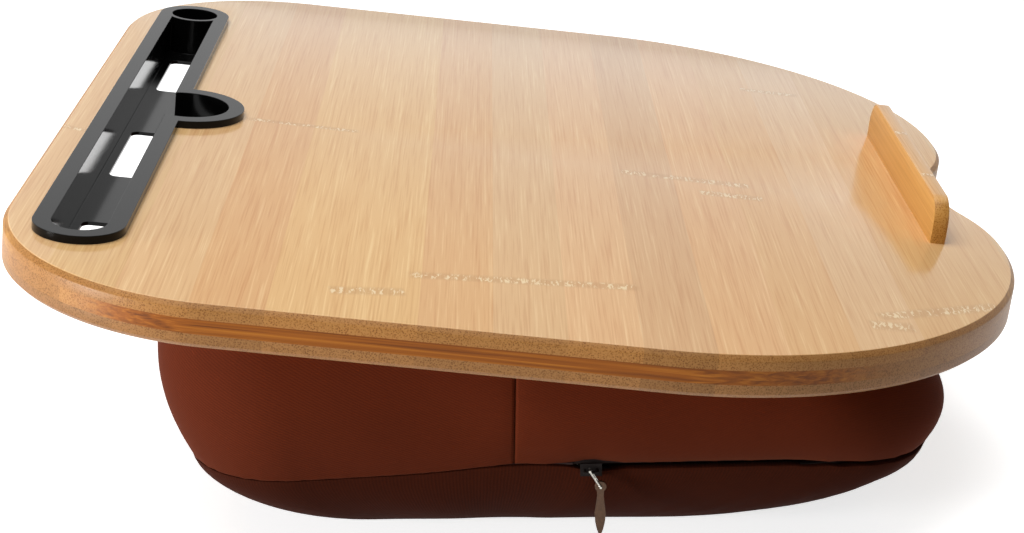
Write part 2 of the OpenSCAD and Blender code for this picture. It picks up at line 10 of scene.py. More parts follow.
import bmesh
import bpy
import numpy as np
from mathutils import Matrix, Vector


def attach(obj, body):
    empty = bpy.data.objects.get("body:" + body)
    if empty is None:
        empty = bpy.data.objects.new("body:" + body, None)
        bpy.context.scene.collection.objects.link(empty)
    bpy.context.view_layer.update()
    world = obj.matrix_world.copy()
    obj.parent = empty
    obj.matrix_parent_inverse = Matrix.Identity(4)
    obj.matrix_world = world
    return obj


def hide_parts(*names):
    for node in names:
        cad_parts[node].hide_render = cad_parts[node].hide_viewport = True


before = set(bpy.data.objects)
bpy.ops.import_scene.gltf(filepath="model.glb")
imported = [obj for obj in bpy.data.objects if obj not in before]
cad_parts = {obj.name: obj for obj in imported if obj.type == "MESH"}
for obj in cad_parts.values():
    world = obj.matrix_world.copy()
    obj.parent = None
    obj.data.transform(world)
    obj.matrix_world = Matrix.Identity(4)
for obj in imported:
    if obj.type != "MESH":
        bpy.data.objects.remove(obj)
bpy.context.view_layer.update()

# ---- Studio ----------------------------------------------
# A white floor under a large softbox, and a small low softbox behind on the left. Camera rays and
# reflections that miss the desk see plain white. The camera looks down on the desk's left side.

MM = 0.001
CAMERA_PLACE = (-0.8371, 0.0131, 0.3519)
CAMERA_TILT = radians(70.07)
CAMERA_TURN = radians(-90.55)
CAMERA_LENS = 75.63
SENSOR_WIDTH = 36.0
FLOOR_SIZE = 8.0
FLOOR_DROP = 0.3 * MM
FLOOR_COLOUR = "f2f2f2"
FLOOR_GLOW = 0.72
AMBIENT = 0.14
SOFTBOXES = [
    # place, aim, size, watts
    ((-0.15, 0.25, 1.7), (0.0, 0.0, 0.05), 1.5, 27.5),
    ((-0.75, 1.3, 0.16), (0.0, 0.15, 0.05), 0.4, 30.0),
]


def linear(colour):
    """An sRGB hex value, such as c8a070, as linear RGBA."""
    parts = [int(colour[k : k + 2], 16) / 255 for k in (0, 2, 4)]
    curve = [p / 12.92 if p <= 0.04045 else ((p + 0.055) / 1.055) ** 2.4 for p in parts]
    return (*curve, 1.0)


def add_node(tree, kind, inputs=(), stops=(), **settings):
    """Adds a shader node with its settings.

    inputs gives sockets their values. A value may be a socket or a node to link, and of a node the
    first live output counts. stops are a colour ramp's places and colours.
    """
    node = tree.nodes.new("ShaderNode" + kind)
    for name, value in settings.items():
        setattr(node, name, value)
    for key, value in dict(inputs).items():
        if isinstance(value, bpy.types.Node):
            value = next(output for output in value.outputs if output.enabled)
        if isinstance(value, bpy.types.NodeSocket):
            tree.links.new(value, node.inputs[key])
        else:
            node.inputs[key].default_value = value
    for number, (place, colour) in enumerate(stops):
        if number >= len(node.color_ramp.elements):
            node.color_ramp.elements.new(1.0)
        node.color_ramp.elements[number].position = place
        node.color_ramp.elements[number].color = linear(colour)
    return node


def empty_material(name):
    """A material without nodes, and its node tree."""
    material = bpy.data.materials.new(name)
    material.use_nodes = True
    material.node_tree.nodes.clear()
    return material, material.node_tree


def aimed(place, aim):
    """The turn that makes a lamp at place look at aim: its -Z axis points there."""
    direction = Vector(aim) - Vector(place)
    return direction.to_track_quat("-Z", "Y").to_euler()


camera_data = bpy.data.cameras.new("camera")
camera_data.lens = CAMERA_LENS
camera_data.sensor_width = SENSOR_WIDTH
camera = bpy.data.objects.new("camera", camera_data)
camera.location = CAMERA_PLACE
camera.rotation_euler = (CAMERA_TILT, 0.0, CAMERA_TURN)
bpy.context.scene.collection.objects.link(camera)
bpy.context.scene.camera = camera
bpy.context.scene.view_settings.view_transform = "Standard"

for number, (place, aim, size, watts) in enumerate(SOFTBOXES):
    lamp = bpy.data.lights.new(f"softbox_{number}", "AREA")
    lamp.size = size
    lamp.energy = watts
    softbox = bpy.data.objects.new(lamp.name, lamp)
    softbox.location = place
    softbox.rotation_euler = aimed(place, aim)
    bpy.context.scene.collection.objects.link(softbox)

world = bpy.data.worlds.new("studio")
world.use_nodes = True
floor_paint, floor_tree = empty_material("white_studio_floor")
for tree in (world.node_tree, floor_tree):
    tree.nodes.clear()
    put = partial(add_node, tree)
    path = put("LightPath").outputs
    seen = put("Math", {0: path["Is Camera Ray"], 1: path["Is Glossy Ray"]}, operation="MAXIMUM")
    seen = put("Math", {0: seen, 1: path["Is Transmission Ray"]}, operation="MAXIMUM")
    if tree == floor_tree:
        matt = put("BsdfDiffuse", {"Color": linear(FLOOR_COLOUR)})
        glow = put("Math", {0: seen, 1: FLOOR_GLOW}, operation="MULTIPLY")
        light = put("Emission", {"Color": linear("ffffff"), "Strength": glow})
        put("OutputMaterial", {"Surface": put("AddShader", {0: matt, 1: light})})
    else:
        strength = put("MapRange", {"Value": seen, "To Min": AMBIENT, "To Max": 1.0})
        light = put("Background", {"Color": linear("ffffff"), "Strength": strength})
        put("OutputWorld", {"Surface": light})
bpy.context.scene.world = world

bpy.ops.mesh.primitive_plane_add(size=FLOOR_SIZE, location=(0, 0, -FLOOR_DROP))
floor = bpy.context.object
floor.name = "floor"
floor.data.materials.append(floor_paint)

# ---- Bamboo board ----------------------------------------
# Three plies of pressed bamboo strips, glued crosswise, sawn to shape with the opening for the
# tray, chamfered along both edges and lacquered satin. The strips of the outer plies run across
# the desk and those of the core run from front to rear.

DECK_W = 418.0
DECK_D = 364.0
PLY = 5.0
TILT = radians(6.3)
REAR_HEIGHT = 120.0
REAR_R = 78.0
FRONT_R = 140.0
LOBE_R = 90.0
NOTCH_R = 77.0
NOTCH_DEPTH = 14.0
CHAMFER = 2.0
# The chamfer's profile as shares of its size: in from the edge, and down from the face.
CHAMFER_STEPS = [(1.0, 0.0), (0.88, 0.03), (0.78, 0.1), (0.1, 0.78), (0.03, 0.88), (0.0, 1.0)]
TRAY_LEN = 332.0
TRAY_W = 31.6
TRAY_BACK = 28.0
TROUGH_OUTER = 22.2
PEN_OUTER_R = 12.6
POCKET_OUTER_R = 18.8
TRAY_CLEAR = 0.3
DECK_Y = (DECK_D * cos(TILT) - 3 * PLY * sin(TILT)) / 2
TROUGH_X = -(TRAY_LEN - TRAY_W) / 2
PEN_X = -TROUGH_X
POCKET_Y = -TRAY_BACK - TRAY_W / 2


def from_deck(points):
    """Points in the deck's frame in mm, as metres in the model's frame.

    The deck's origin is the middle of its rear top edge. A point is turned about X by the tilt and
    moved to that edge.
    """
    x, y, z = np.moveaxis(np.asarray(points, float), -1, 0)
    level_y = DECK_Y + y * cos(TILT) - z * sin(TILT)
    level_z = REAR_HEIGHT + y * sin(TILT) + z * cos(TILT)
    return np.stack([x, level_y, level_z], -1) * MM


def arc(centre, radius, start, end, steps):
    """Points on a circle between two angles in degrees."""
    turn = np.radians(np.linspace(start, end, steps + 1))
    return np.asarray(centre) + radius * np.stack([np.cos(turn), np.sin(turn)], -1)


def lobe_geometry():
    """The circles of the front corner, lobe and cut-out, and where the lobe's arc starts and ends.

    The lobe's circle touches the corner's from inside and the cut-out's from outside, so its
    centre is where two circles round their centres cross: the corner's radius less the lobe's,
    and the cut-out's plus the lobe's.
    """
    front = np.array([DECK_W / 2 - FRONT_R, -(DECK_D - FRONT_R)])
    notch = np.array([0.0, -(DECK_D - NOTCH_DEPTH + NOTCH_R)])
    gap = notch - front
    between = np.hypot(*gap)
    along = ((FRONT_R - LOBE_R) ** 2 - (NOTCH_R + LOBE_R) ** 2 + between**2) / (2 * between)
    across = ((FRONT_R - LOBE_R) ** 2 - along**2) ** 0.5
    lobe = front + gap / between * along + across * np.array([-gap[1], gap[0]]) / between
    start = np.degrees(np.arctan2(*(lobe - front)[::-1]))
    end = np.degrees(np.arctan2(*(notch - lobe)[::-1]))
    return front, lobe, notch, start, end


def board_outline(inset):
    """The board's outline, drawn in by inset: four arcs on each half, joined by straight edges."""
    front, lobe, notch, start, end = lobe_geometry()
    half = np.concatenate(
        [
            arc((DECK_W / 2 - REAR_R, -REAR_R), REAR_R - inset, 90, 0, 40),
            arc(front, FRONT_R - inset, 0, start, 60),
            arc(lobe, LOBE_R - inset, start, end, 12)[1:],
            arc(notch, NOTCH_R + inset, end + 180, 90, 12)[1:],
        ]
    )
    return np.concatenate([half, (half * [-1, 1])[-2::-1]])


def tray_opening():
    """The tray's opening: arcs round pen tube, pocket and trough end, with clearance, where the
    arcs of tube and pocket stop where they meet the trough's straight walls."""
    half = TROUGH_OUTER / 2 + TRAY_CLEAR
    pen = PEN_OUTER_R + TRAY_CLEAR
    pocket = POCKET_OUTER_R + TRAY_CLEAR
    pen_turn = np.degrees(np.arcsin(half / pen))
    pocket_turn = np.degrees(np.arcsin((POCKET_Y + TRAY_BACK + half) / pocket * -1))
    return np.concatenate(
        [
            arc((PEN_X, -TRAY_BACK), pen, 180 - pen_turn, -180 + pen_turn, 40),
            arc((0, POCKET_Y), pocket, pocket_turn, -180 - pocket_turn, 30),
            arc((TROUGH_X, -TRAY_BACK), half, -90, -270, 24),
        ]
    )


def reach(loop, hub, turns):
    """How far rays from hub at these angles go before they cross a loop of points.

    Each ray meets the straight edge between the two points on either side of its angle: the cross
    product of the edge's ends over that of the ray and the edge.
    """
    spoke = loop - hub
    angle = np.arctan2(spoke[:, 1], spoke[:, 0])
    order = np.argsort(angle)
    spoke, angle = spoke[order], angle[order]
    after = np.searchsorted(angle, turns, side="right") % len(angle)
    p, q = spoke[after - 1], spoke[after]
    ray = np.stack([np.cos(turns), np.sin(turns)], -1)
    edge = q - p
    ends = p[:, 0] * edge[:, 1] - p[:, 1] * edge[:, 0]
    return ends / (ray[:, 0] * edge[:, 1] - ray[:, 1] * edge[:, 0])


def grid_mesh(name, points, closed_rows=False, closed_cols=True, poles=(False, False)):
    """A mesh over a grid of points, rows by columns.

    closed_rows and closed_cols join the last row or column to the first. poles says whether the
    first and the last row close to their middle point.
    """
    rows, cols = points.shape[:2]
    index = np.arange(rows * cols).reshape(rows, cols)
    if closed_rows:
        index = np.concatenate([index, index[:1]])
    if closed_cols:
        index = np.concatenate([index, index[:, :1]], 1)
    quads = np.stack([index[:-1, :-1], index[1:, :-1], index[1:, 1:], index[:-1, 1:]], -1)
    vertices = points.reshape(-1, 3)
    faces = quads.reshape(-1, 4).tolist()
    for row, wanted, flip in ((0, poles[0], 1), (rows - 1, poles[1], -1)):
        if wanted:
            hub = len(vertices)
            vertices = np.concatenate([vertices, points[row].mean(0)[None]])
            ring = index[row]
            fan = np.stack([np.full(len(ring) - 1, hub), ring[:-1], ring[1:]], -1)
            faces += fan[:, ::flip].tolist()
    mesh = bpy.data.meshes.new(name)
    mesh.from_pydata(vertices.tolist(), [], faces)
    mesh.update()
    return mesh


def merge_doubles(mesh, distance=0.002, outwards=False, flatten=None):
    """Merges points closer than distance, in mm. It may then turn the faces outwards, or merge
    faces that lie within an angle, in degrees."""
    shell = bmesh.new()
    shell.from_mesh(mesh)
    bmesh.ops.remove_doubles(shell, verts=shell.verts, dist=distance * MM)
    if outwards:
        bmesh.ops.recalc_face_normals(shell, faces=shell.faces)
    if flatten:
        parts = {"verts": shell.verts, "edges": shell.edges}
        bmesh.ops.dissolve_limit(shell, angle_limit=radians(flatten), **parts)
    shell.to_mesh(mesh)
    shell.free()


def finished_piece(name, mesh, material, sharp=30.0, recalculate=True):
    """An object for a mesh: faces outwards, smooth but for edges sharper than that many degrees."""
    if recalculate:
        merge_doubles(mesh, outwards=True)
    mesh.shade_smooth()
    mesh.set_sharp_from_angle(angle=radians(sharp))
    mesh.materials.append(material)
    piece = bpy.data.objects.new(name, mesh)
    bpy.context.scene.collection.objects.link(piece)
    return piece


# The curly marks where a bamboo strip has a node: the middle's x and y in the deck's frame, the
# turn in degrees, half the length and half the width, in mm.
NODE_MARKS = [
    (-2, -91, 87, 24, 3.0),
    (-182, -127, 101, 13, 5.0),
    (-158, -179, 97, 41, 4.5),
    (-22, -245, 87, 27, 4.5),
    (-147, -323, 116, 27, 5.0),
    (-166, -303, 93, 8, 6.0),
    (-39, -10, 70, 10, 3.0),
    (-38, -262, 88, 13, 4.5),
    (128, -297, 87, 14, 4.0),
]
BAMBOO_IOR = 1.5
STRIP_WIDTH = 24.0


def mark_middle(x, y):
    """The middle of a node mark in the coordinates that the material has turned level."""
    place = from_deck([[x, y, 0.0]])[0]
    level_y = place[1] * cos(TILT) + place[2] * sin(TILT)
    level_z = -place[1] * sin(TILT) + place[2] * cos(TILT)
    return (place[0], level_y, level_z)


def lacquered_bamboo(name, face, side, end, turned=False, marks=()):
    """Pressed bamboo strips, sanded and lacquered.

    The fibres run along the deck's X, or along its Y if turned. Faces show fine short streaks and
    strips of slightly different tone, edges along the fibres show darker wavy lines, and edges
    across them show the dots of cut fibre bundles. face, side and end are the colours of these
    three, each from dark to light. The lacquer gives a faint mirror image at a low angle.
    """
    material, tree = empty_material(name)
    put = partial(add_node, tree)
    smooth = {"interpolation_type": "SMOOTHSTEP"}
    level = put("Mapping", {"Vector": put("TexCoord").outputs["Object"], "Rotation": (-TILT, 0, 0)})
    grain = put("Mapping", {"Vector": level, "Rotation": (0, 0, pi / 2)}) if turned else level
    normal = put("NewGeometry").outputs["Normal"]
    normal = put("Mapping", {"Vector": normal, "Rotation": (-TILT, 0, 0)})
    facing = put("SeparateXYZ", {0: normal}).outputs
    across = put("SeparateXYZ", {0: grain}).outputs[1]

    # Strips 24 mm wide, each with its own tone.
    strip = put("Math", {0: across, 1: STRIP_WIDTH * MM}, operation="DIVIDE")
    strip = put("Math", {0: strip}, operation="FLOOR")
    random = put("TexWhiteNoise", {"W": strip}, noise_dimensions="1D").outputs["Color"]
    own_hue, own_depth, own_tone = put("SeparateXYZ", {0: random}).outputs

    # Fibres: streaks 0.7 mm and 2.6 mm wide, about 60 times as long. The real fibres are finer.
    strand = put("Mapping", {"Vector": grain, "Scale": (0.016, 1.0, 1.0)})
    fine = put("TexNoise", {"Vector": strand, "Scale": 1 / (0.7 * MM), "Roughness": 0.6})
    medium = put("TexNoise", {"Vector": strand, "Scale": 1 / (2.6 * MM)})
    streaks = put("Mix", {0: 0.3, 2: fine, 3: medium})
    share = put("MapRange", {"Value": streaks, "From Min": 0.3, "From Max": 0.7}, **smooth)
    face_stops = [(0.0, face[0]), (0.45, face[1]), (0.7, face[1]), (1.0, face[2])]
    face_colour = put("ValToRGB", {"Fac": share}, face_stops)
    face_colour = put(
        "HueSaturation",
        {
            "Color": face_colour,
            "Hue": put("MapRange", {"Value": own_hue, "To Min": 0.493, "To Max": 0.503}),
            "Saturation": put("MapRange", {"Value": own_depth, "To Min": 0.9, "To Max": 1.04}),
            "Value": put("MapRange", {"Value": own_tone, "To Min": 0.94, "To Max": 1.05}),
        },
    )

    # Edges along the fibres: lines 1.4 mm apart, a hundred times as long.
    line = put("Mapping", {"Vector": grain, "Scale": (0.012, 1.0, 1.3)})
    waves = {"Scale": 1 / (1.4 * MM), "Detail": 4.0, "Roughness": 0.6, "Distortion": 0.5}
    wavy = put("TexNoise", {"Vector": line, **waves})
    side_colour = put("ValToRGB", {"Fac": wavy}, [(0.3, side[0]), (0.5, side[1]), (0.72, side[2])])

    # Edges across the fibres: bundles as dark dots, 0.6 mm apart. The real ones are a little finer.
    dots = put("TexVoronoi", {"Vector": grain, "Scale": 1 / (0.6 * MM)})
    clusters = put("TexNoise", {"Vector": grain, "Scale": 1 / (3.4 * MM)})
    dotted = put("Math", {0: clusters, 1: 0.4, 2: dots}, operation="MULTIPLY_ADD")
    end_colour = put("ValToRGB", {"Fac": dotted}, [(0.34, end[0]), (0.5, end[1]), (0.85, end[2])])
    cut_tone = put("MapRange", {"Value": own_tone, "To Min": 0.85, "To Max": 1.12})
    end_colour = put("HueSaturation", {"Color": end_colour, "Value": cut_tone})

    # How far an edge faces along the fibres, whatever its slope, and what is a face.
    slope = put("Math", {0: facing[2], 1: facing[2]}, operation="MULTIPLY")
    level_run = put("Math", {0: 1.0001, 1: slope}, operation="SUBTRACT")
    level_run = put("Math", {0: level_run}, operation="SQRT")
    endwise = put("Math", {0: facing[1 if turned else 0], 1: level_run}, operation="DIVIDE")
    endwise = put("Math", {0: endwise}, operation="ABSOLUTE")
    cut = put("MapRange", {"Value": endwise, "From Min": 0.35, "From Max": 0.6}, **smooth)
    edge_colour = put("Mix", {0: cut, 6: side_colour, 7: end_colour}, data_type="RGBA")
    flat = put("Math", {0: facing[2]}, operation="ABSOLUTE")
    flat = put("MapRange", {"Value": flat, "From Min": 0.75, "From Max": 0.95}, **smooth)
    colour = put("Mix", {0: flat, 6: edge_colour, 7: face_colour}, data_type="RGBA")
    relief = put("Math", {0: share, 1: 0.1}, operation="MULTIPLY")

    # Node marks: a darker band across the strip, with cream dashes about 1.5 mm long in it.
    band = 0.0
    for x, y, turn, half_length, half_width in marks:
        near = put("VectorMath", {0: level, 1: mark_middle(x, y)}, operation="SUBTRACT")
        size = (half_length * MM, half_width * MM, 1.0)
        place = {"Vector": near, "Rotation": (0, 0, radians(turn)), "Scale": size}
        near = put("Mapping", place, vector_type="TEXTURE")
        near = put("SeparateXYZ", {0: put("VectorMath", {0: near}, operation="ABSOLUTE")}).outputs
        fall = {"To Min": 1.0, "To Max": 0.0}
        ends = put("MapRange", {"Value": near[0], "From Min": 0.9, **fall}, **smooth)
        rims = put("MapRange", {"Value": near[1], "From Min": 0.3, **fall}, **smooth)
        mark = put("Math", {0: ends, 1: rims}, operation="MULTIPLY")
        band = put("Math", {0: mark, 1: band}, operation="MAXIMUM")
    if marks:
        band = put("Math", {0: band, 1: flat}, operation="MULTIPLY")
        dash = put("Mapping", {"Vector": grain, "Scale": (0.3, 1.0, 1.0)})
        curl = {"Scale": 1 / (1.1 * MM), "Detail": 3.0, "Distortion": 0.8}
        curls = put("TexNoise", {"Vector": dash, **curl})
        ridge = put("MapRange", {"Value": curls, "From Min": 0.5, "From Max": 0.61}, **smooth)
        shade = put("Math", {0: band, 1: 0.35}, operation="MULTIPLY")
        colour = put("Mix", {0: shade, 6: colour, 7: linear("b98a58")}, data_type="RGBA")
        strong = put("Math", {0: band, 1: band}, operation="MULTIPLY")
        ridge = put("Math", {0: ridge, 1: strong}, operation="MULTIPLY")
        colour = put("Mix", {0: ridge, 6: colour, 7: linear("efd4a8")}, data_type="RGBA")
        relief = put("Math", {0: ridge, 1: 0.6, 2: relief}, operation="MULTIPLY_ADD")

    bump = put("Bump", {"Strength": 0.25, "Distance": 0.12 * MM, "Height": relief})
    gloss = put("MapRange", {"Value": flat, "To Min": 0.42, "To Max": 0.15})
    lacquer = {"Roughness": gloss, "IOR": BAMBOO_IOR, "Specular IOR Level": 0.2}
    surface = put("BsdfPrincipled", {"Base Color": colour, "Normal": bump, **lacquer})
    put("OutputMaterial", {"Surface": surface})
    return material


# All faces are pale straw. The top ply has dotted and streaky brown edges.
FACE_TONES = ("d4a167", "dfb278", "e9c289")
face_bamboo = lacquered_bamboo(
    "lacquered_bamboo_face_ply",
    FACE_TONES,
    ("7a5024", "9a6c34", "ac7e44"),
    ("673d16", "885a28", "9a6c3a"),
    marks=NODE_MARKS,
)
# The bottom ply's edges look slightly darker.
low_bamboo = lacquered_bamboo(
    "lacquered_bamboo_bottom_ply",
    FACE_TONES,
    ("6e4820", "8a602e", "9a703c"),
    ("5a3614", "7a5228", "8c6238"),
)
# The core ply is the same bamboo turned across: its edge at the sides shows orange-brown lines.
core_bamboo = lacquered_bamboo(
    "lacquered_bamboo_core_ply",
    FACE_TONES,
    ("552a04", "82460a", "a0641c"),
    ("673d16", "885a28", "9a6c3a"),
    turned=True,
)

# Rays from one hub in the opening cut every loop of a ply, so that the loops' points pair up.
HUB = np.array([0.0, -TRAY_BACK])
opening = tray_opening()
spokes = np.concatenate([opening, board_outline(0.0)]) - HUB
SPOKE_TURNS = np.unique(np.round(np.arctan2(spokes[:, 1], spokes[:, 0]), 7))


def loop_at(loop, z):
    """A loop's points on the shared rays, at a height in the deck's frame."""
    rays = np.stack([np.cos(SPOKE_TURNS), np.sin(SPOKE_TURNS)], -1)
    flat = HUB + reach(loop, HUB, SPOKE_TURNS)[:, None] * rays
    return np.concatenate([flat, np.full((len(flat), 1), z)], 1)


def board_ply(name, top, chamfer_top, chamfer_low, material):
    """A ply as loops of points round its section: up the opening's wall, out over the top face,
    down the outer edge with its chamfers, and back under."""
    low = top - PLY
    loops = [loop_at(opening, low), loop_at(opening, top)]
    square = [(0.0, 0.0)]
    for inward, down in CHAMFER_STEPS if chamfer_top else square:
        loops.append(loop_at(board_outline(CHAMFER * inward), top - CHAMFER * down))
    for inward, up in CHAMFER_STEPS[::-1] if chamfer_low else square:
        loops.append(loop_at(board_outline(CHAMFER * inward), low + CHAMFER * up))
    mesh = grid_mesh(name, from_deck(np.stack(loops)), closed_rows=True)
    return finished_piece(name, mesh, material)


PLIES = [
    # name, node, top, chamfers above and below, material, slot
    ("board_top_ply", "deck_top_ply", 0.0, True, False, face_bamboo, "bamboo_face"),
    ("board_core_ply", "deck_core_ply", -PLY, False, False, core_bamboo, "bamboo_core"),
    ("board_bottom_ply", "deck_bottom_ply", -2 * PLY, False, True, low_bamboo, "bamboo_face"),
]
for name, node, top, chamfer_top, chamfer_low, material, slot in PLIES:
    ply = board_ply(name, top, chamfer_top, chamfer_low, material)
    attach(ply, "desk")
    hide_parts(node)

# ---- Stop ledge and its screws ---------------------------
# A strip of the same bamboo, sawn with round upper corners, its edges eased by sanding, glued into
# a groove and held by two steel screws from below.

LEDGE_LEN = 144.0
LEDGE_H = 16.6
LEDGE_T = 6.0
LEDGE_CORNER_R = 10.0
LEDGE_SET = 10.0
GROOVE = 2.0
EASED = 0.9
LEDGE_Y = -(DECK_D - NOTCH_DEPTH) + LEDGE_SET


def ledge_outline(inset):
    """The ledge seen from the user: a rectangle with round upper corners, drawn in by inset."""
    x = LEDGE_LEN / 2 - LEDGE_CORNER_R
    z = LEDGE_H - LEDGE_CORNER_R
    foot = np.array([[LEDGE_LEN / 2 - inset, -GROOVE]])
    right = np.concatenate([foot, arc((x, z), LEDGE_CORNER_R - inset, 0, 90, 14)])
    return np.concatenate([right, (right * [-1, 1])[::-1]])


eased = ((0.0, EASED), (0.25 * EASED, 0.3 * EASED), (EASED, 0.0))
ledge_loops = [(LEDGE_Y + y, inset) for y, inset in eased]
ledge_loops += [(2 * LEDGE_Y + LEDGE_T - y, inset) for y, inset in ledge_loops[::-1]]
ledge_points = []
for y, inset in ledge_loops:
    flat = ledge_outline(inset)
    ledge_points.append(np.stack([flat[:, 0], np.full(len(flat), y), flat[:, 1]], -1))
# The ledge is a little yellower than the board, with faint lines along it.
ledge_bamboo = lacquered_bamboo(
    "lacquered_bamboo_ledge",
    ("cc9450", "dca866", "e8ba7c"),
    ("c48c48", "d29c54", "dca862"),
    ("84521a", "ab7430", "be8a44"),
    marks=[(-38, LEDGE_Y, 90, 7, 3.0), (20, LEDGE_Y, 90, 7, 3.0)],
)
ledge = finished_piece(
    "stop_ledge_strip",
    grid_mesh("stop_ledge_strip", from_deck(np.stack(ledge_points)), poles=(True, True)),
    ledge_bamboo,
    sharp=40.0,
)
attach(ledge, "desk")
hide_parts("stop_ledge")


def plain_finish(name, colour, roughness, grain, depth, metallic=0.0, ior=1.5, specular=0.5):
    """A moulded, woven or metal finish with an even grain, in mm, in its tone, gloss and relief."""
    material, tree = empty_material(name)
    put = partial(add_node, tree)
    place = put("TexCoord").outputs["Object"]
    specks = {"Scale": 1 / (grain * MM), "Detail": 3.0, "Roughness": 0.6}
    speck = put("TexNoise", {"Vector": place, **specks})
    shade = put("MapRange", {"Value": speck, "From Min": 0.3, "From Max": 0.7, "To Max": 0.35})
    tone = put("Mix", {0: shade, 6: linear(colour), 7: linear("000000")}, data_type="RGBA")
    matt = put("MapRange", {"Value": speck, "To Min": roughness - 0.05, "To Max": roughness + 0.07})
    bump = put("Bump", {"Strength": 0.3, "Distance": depth * MM, "Height": speck})
    gloss = {"Metallic": metallic, "Roughness": matt, "IOR": ior, "Specular IOR Level": specular}
    surface = put("BsdfPrincipled", {"Base Color": tone, "Normal": bump, **gloss})
    put("OutputMaterial", {"Surface": surface})
    return material


def dressed_copy(node, name, material, width, segments=2, sharp=35.0):
    """A copy of a CAD node's mesh with its triangles merged to faces and its edges rounded."""
    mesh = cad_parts[node].data.copy()
    mesh.name = name
    mesh.materials.clear()
    merge_doubles(mesh, 0.003, flatten=0.6)
    piece = finished_piece(name, mesh, material, sharp, recalculate=False)
    rounding = piece.modifiers.new("eased_edges", "BEVEL")
    rounding.width = width * MM
    rounding.segments = segments
    rounding.limit_method = "ANGLE"
    rounding.angle_limit = radians(sharp)
    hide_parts(node)
    return piece


# Bright steel under a thin zinc coat: pale grey, half shiny.
zinc_steel = plain_finish("zinc_plated_steel", "b4b3ae", 0.32, grain=1.1, depth=0.03, metallic=1.0)
screws = dressed_copy("ledge_screws", "ledge_wood_screws", zinc_steel, 0.15)
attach(screws, "desk")

# ---- Organiser tray --------------------------------------
# One moulding in black ABS. Its flange lies on the board, and its edges have the small radii that
# a mould leaves.

MOULD_RADIUS = 0.5
# Injection-moulded ABS from a polished mould: deep black with clear grey reflections in its walls.
black_abs = plain_finish(
    "black_moulded_abs", "0a0a0a", 0.12, grain=0.55, depth=0.002, specular=0.13
)
tray = dressed_copy(
    "organiser_tray", "organiser_tray_moulding", black_abs, MOULD_RADIUS, segments=3
)
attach(tray, "desk")

# ---- Cushion cover ---------------------------------------
# A wedge cushion in rust-brown twill: a top panel against the board, a boxing in two lengths with
# an upright seam on each side, and a base panel in a ribbed cloth whose darker colour is painted
# shade, since it faces down. Where two panels meet, their edges roll in to the seam, and along
# the zip the two rolled edges stand a little apart.

# The upper seam's outline, and how far the lower one is drawn in on each side (below 0: out).
CUSHION_W = 353.0
CUSHION_D = 265.0
CUSHION_BACK = 54.0
CORNER_REAR = 40.0
CORNER_FRONT = 50.0
SIDE_DRAW = 6.8
REAR_DRAW = 5.0
FRONT_DRAW = -3.0
SIDE_BULGE = 6.5
SEAM_H_REAR = 34.0
SEAM_H_FRONT = 39.0
# The flat part on the floor: how far in from the lower seam at the sides, rear and front.
FOOT = (40.0, 46.0, 76.0)
FOOT_SHRINK = 0.8
FOOT_POWER = 1.3
# The top panel rises from its seam on a roll to the board.
TOP_ROLL = 14.0
TOP_DROP = 4.5
TOP_LIP = (0.0, 0.1, 0.4, 0.8)
PAD_GAP = 2.0
# The cloth: its rolled edges, the width turned under and the gap between two panels.
ROLL = 1.3
TURN_IN = 5.0
CLOTH_T = 0.5
SEWN_GAP = 0.15
ZIP_GAP = 1.15
ZIP_OPENS_OVER = 12.0
ZIP_CLOSES_OVER = 25.0
SOFT_ROLL = 0.3
SOFT_RUN = 70.0
# Places along the straight side, as shares of it from its rear end.
SEAM_SHARE = 0.46
ZIP_SHARE = 0.55
# The filling pushes the front corners out, and the upright seams lean and lie in a hollow.
CORNER_PUSH = 5.5
SEAM_LEAN = 4.5
LEAN_REACH = 30.0
SEAM_HOLLOW = 0.8
SEAM_HOLLOW_REACH = 5.0
STITCH_HOLLOW = 0.25
STITCH_HOLLOW_REACH = 6.0
STITCH_RADIANS = 42
# Room for the slider at its rest place, and for its plate along the way that it runs.
SLIDER_FROM_START = 6.2
SLIDER_ROOM = 1.1
SLIDER_ROOM_REACH = 6.0
TRACK_STARTS = -4.0
TRACK_ENDS = 82.0
TRACK_HOLLOW = 1.4
TRACK_SHARE = 0.075
# Waves of the cloth: height in mm, seed and length in mm.
GAP_WAVE = (0.5, 5, 30.0)
SIDE_WAVE = (0.9, 11, 90.0)
LOWER_PUCKER = (0.22, 17, 7.0)
UPPER_PUCKER = (0.18, 19, 8.0)
BASE_PUCKER = (0.25, 23, 8.0)
BASE_WAVE = (0.8, 29, 70.0)
CORNER_WAVE = (1.1, 31, 24.0)
CORNER_WAVE_REACH = 40.0
PUCKER_SPREAD = 0.01
# The grids: steps along and across a panel, the length of cloth counted from seam to seam, the
# length counted from there to the middle, and the points in each of a ring's eight parts.
STEP = 3.0
PANEL_H = 60.0
BASE_MIDDLE = 130.0
TOP_MIDDLE = 140.0
PART_STEPS = 200

REAR_Y = DECK_Y - CUSHION_BACK
FRONT_Y = REAR_Y - CUSHION_D
HALF = CUSHION_W / 2
SEAM_HALF = HALF - SIDE_DRAW
SEAM_REAR_Y = REAR_Y - REAR_DRAW
SEAM_FRONT_Y = FRONT_Y + FRONT_DRAW


